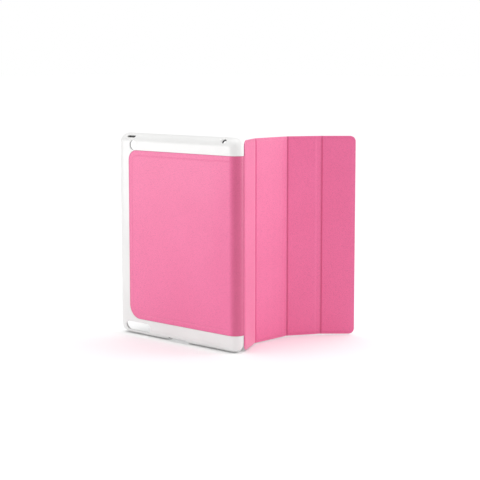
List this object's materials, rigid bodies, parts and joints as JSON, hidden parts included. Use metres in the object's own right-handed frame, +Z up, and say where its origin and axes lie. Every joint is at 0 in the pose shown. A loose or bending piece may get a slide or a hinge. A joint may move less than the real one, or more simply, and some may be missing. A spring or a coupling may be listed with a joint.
{
  "type": "tablet case",
  "caption": "Hard tablet shell with a leather back panel and a folding cover hinged along one side, shown standing open.",
  "frame": {"origin": "on the surface that the case stands on, under the middle of its box with the cover as it stands open", "axes": "+Z up; -Y out of the shell's back; +X out of the hinge side"},
  "size_m": [0.232, 0.1726, 0.245],
  "materials": {
    "white_polycarbonate": "injection-moulded polycarbonate, glossy",
    "pink_leather": "PU leather, fine grain",
    "charcoal_microfibre": "brushed microfibre",
    "grey_microfibre": "brushed microfibre",
    "adhesive_film": "black double-sided film",
    "fibreboard": "pressed fibreboard",
    "nickel_steel": "nickel-plated"
  },
  "bodies": {
    "case": {"back_shell": "white_polycarbonate", "liner_adhesive": "adhesive_film", "shell_liner": "charcoal_microfibre", "back_panel_leather": "pink_leather", "back_panel_adhesive": "adhesive_film"},
    "hinge_strip": {"hinge_leather": "pink_leather", "hinge_lining": "grey_microfibre"},
    "panel_1": {"panel_1_leather": "pink_leather", "panel_1_board": "fibreboard", "panel_1_lining": "grey_microfibre", "fold_1_leather": "pink_leather", "fold_1_lining": "grey_microfibre", "keeper_strip": "nickel_steel"},
    "panel_2": {"panel_2_leather": "pink_leather", "panel_2_board": "fibreboard", "panel_2_lining": "grey_microfibre", "fold_2_leather": "pink_leather", "fold_2_lining": "grey_microfibre"},
    "panel_3": {"panel_3_leather": "pink_leather", "panel_3_board": "fibreboard", "panel_3_lining": "grey_microfibre", "fold_3_leather": "pink_leather", "fold_3_lining": "grey_microfibre"},
    "panel_4": {"panel_4_leather": "pink_leather", "panel_4_board": "fibreboard", "panel_4_lining": "grey_microfibre", "hold_magnets": "nickel_steel", "wake_magnet": "nickel_steel"}
  },
  "joints": [
    {"name": "hinge_strip_swing", "type": "hinge", "parent": "case", "child": "hinge_strip", "pos_m": [0.07434, -0.07294, 0.1225], "axis": [0, 0, -1], "range_deg": [-36.6, 150]},
    {"name": "cover_swing", "type": "hinge", "parent": "hinge_strip", "child": "panel_1", "pos_m": [0.07133, -0.0707, 0.1225], "axis": [0, 0, -1], "range_deg": [-30.6, 70]},
    {"name": "fold_1_bend", "type": "hinge", "parent": "panel_1", "child": "panel_2", "pos_m": [0.05436, -0.03011, 0.1225], "axis": [0, 0, 1], "range_deg": [-62.2, 133], "deforming": ["fold_1_leather", "fold_1_lining"]},
    {"name": "fold_2_bend", "type": "hinge", "parent": "panel_2", "child": "panel_3", "pos_m": [0.05918, 0.02398, 0.1225], "axis": [0, 0, 1], "range_deg": [-60.2, 155.8], "deforming": ["fold_2_leather", "fold_2_lining"]},
    {"name": "fold_3_bend", "type": "hinge", "parent": "panel_3", "child": "panel_4", "pos_m": [0.08396, 0.05949, 0.1225], "axis": [0, 0, 1], "range_deg": [-75.3, 122], "deforming": ["fold_3_leather", "fold_3_lining"]}
  ]
}
